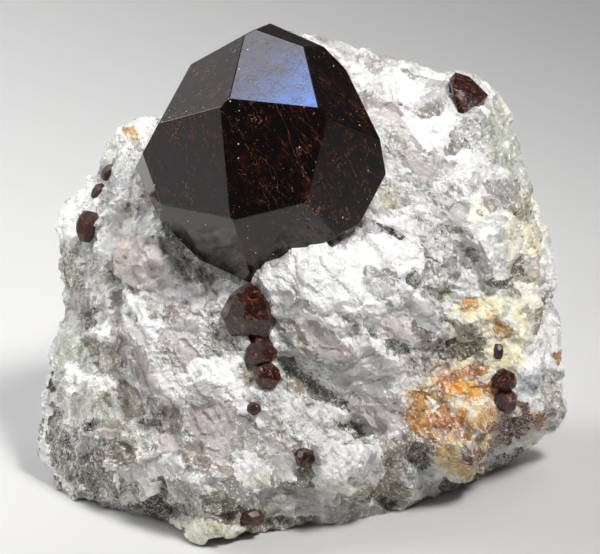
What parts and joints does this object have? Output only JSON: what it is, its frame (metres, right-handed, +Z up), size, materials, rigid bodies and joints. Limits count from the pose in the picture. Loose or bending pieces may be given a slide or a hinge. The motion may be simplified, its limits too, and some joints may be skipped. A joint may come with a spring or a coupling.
{
  "type": "garnet crystal in quartz matrix",
  "caption": "Rough white quartz and feldspar specimen with a large dark red faceted garnet crystal and small garnets set in it, resting on a flat foot.",
  "frame": {"origin": "centre of the bounding box on the resting plane, z = 0", "axes": "+Z up, the face with the large crystal towards -Y, +X to the right seen from that face"},
  "size_m": [0.0805, 0.0615, 0.073],
  "materials": {
    "rock": "broken white and grey quartz with cream feldspar, grey-green mica and a rust-stained pocket, glassy to sugary",
    "garnet": "glassy dark red-black, nearly opaque, with fine orange veils"
  },
  "bodies": {
    "root": {"matrix": "rock", "garnet_main": "garnet", "garnet_chain": "garnet", "garnet_upper_right": "garnet", "garnet_lower": "garnet", "garnet_tiny": "garnet", "garnet_right_pair": "garnet", "garnet_right_grain": "garnet", "garnet_left": "garnet", "garnet_edge_a": "garnet", "garnet_edge_b": "garnet", "garnet_bottom": "garnet"}
  },
  "joints": []
}
